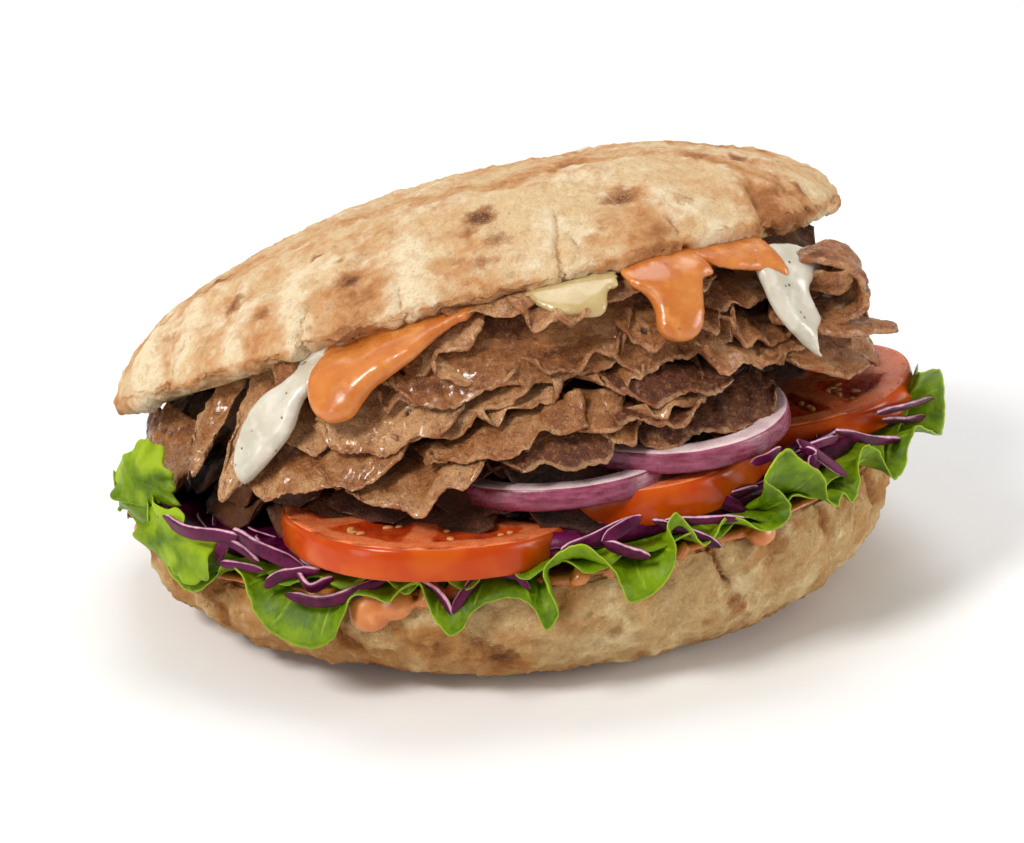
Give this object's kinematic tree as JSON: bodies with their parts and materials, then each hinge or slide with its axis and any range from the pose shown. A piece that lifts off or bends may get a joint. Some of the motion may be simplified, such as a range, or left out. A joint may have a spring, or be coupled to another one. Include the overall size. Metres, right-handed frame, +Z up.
{
  "type": "doner kebab sandwich",
  "caption": "Doner kebab sandwich: a split round flatbread propped open on shaved meat with lettuce, red cabbage, tomato slices, red onion rings and runs of orange and white sauce",
  "frame": {"origin": "on the flat base of the lower bread half, in the middle of the round loaf", "axes": "+Z up; -Y towards the open mouth; +X to the right seen from the mouth"},
  "size_m": [0.2021, 0.191, 0.1021],
  "materials": {
    "flatbread_lower": "baked flatbread crust, floury, mottled with light brown",
    "flatbread_crust": "baked flatbread crust, floury, with brown griddle spots",
    "cocktail_sauce": "glossy orange sauce",
    "lettuce_leaf": "fresh ruffled leaf, satin",
    "red_cabbage_shred": "wet shredded red cabbage",
    "tomato_flesh": "wet cut tomato with glossy skin",
    "red_onion": "crisp red onion, wet",
    "doner_meat_heap": "roast shaved meat in shade",
    "doner_meat": "roast shaved meat, slightly greasy",
    "yoghurt_sauce": "glossy white yoghurt sauce with herbs",
    "garlic_cream": "glossy pale cream sauce"
  },
  "bodies": {
    "root": {"bun_bottom": "flatbread_lower", "bun_top": "flatbread_crust", "sauce_spread": "cocktail_sauce", "lettuce": "lettuce_leaf", "red_cabbage": "red_cabbage_shred", "tomato_slice_1": "tomato_flesh", "tomato_slice_2": "tomato_flesh", "tomato_slice_3": "tomato_flesh", "tomato_slice_4": "tomato_flesh", "tomato_slice_5": "tomato_flesh", "onion_ring_1": "red_onion", "onion_ring_2": "red_onion", "onion_ring_3": "red_onion", "onion_ring_4": "red_onion", "doner_meat": "doner_meat_heap", "doner_slice_01": "doner_meat", "doner_slice_02": "doner_meat", "doner_slice_04": "doner_meat", "doner_slice_05": "doner_meat", "doner_slice_06": "doner_meat", "doner_slice_07": "doner_meat", "doner_slice_08": "doner_meat", "doner_slice_09": "doner_meat", "doner_slice_11": "doner_meat", "doner_slice_12": "doner_meat", "doner_slice_14": "doner_meat", "doner_slice_15": "doner_meat", "doner_slice_16": "doner_meat", "doner_slice_18": "doner_meat", "doner_slice_19": "doner_meat", "doner_slice_20": "doner_meat", "doner_slice_21": "doner_meat", "doner_slice_22": "doner_meat", "doner_slice_24": "doner_meat", "doner_slice_26": "doner_meat", "doner_slice_27": "doner_meat", "doner_slice_28": "doner_meat", "doner_slice_29": "doner_meat", "doner_slice_30": "doner_meat", "doner_slice_31": "doner_meat", "sauce_white_left": "yoghurt_sauce", "sauce_white_right": "yoghurt_sauce", "sauce_cream_middle": "garlic_cream", "sauce_orange_left": "cocktail_sauce", "sauce_orange_middle": "cocktail_sauce", "sauce_orange_right": "cocktail_sauce"}
  },
  "joints": []
}
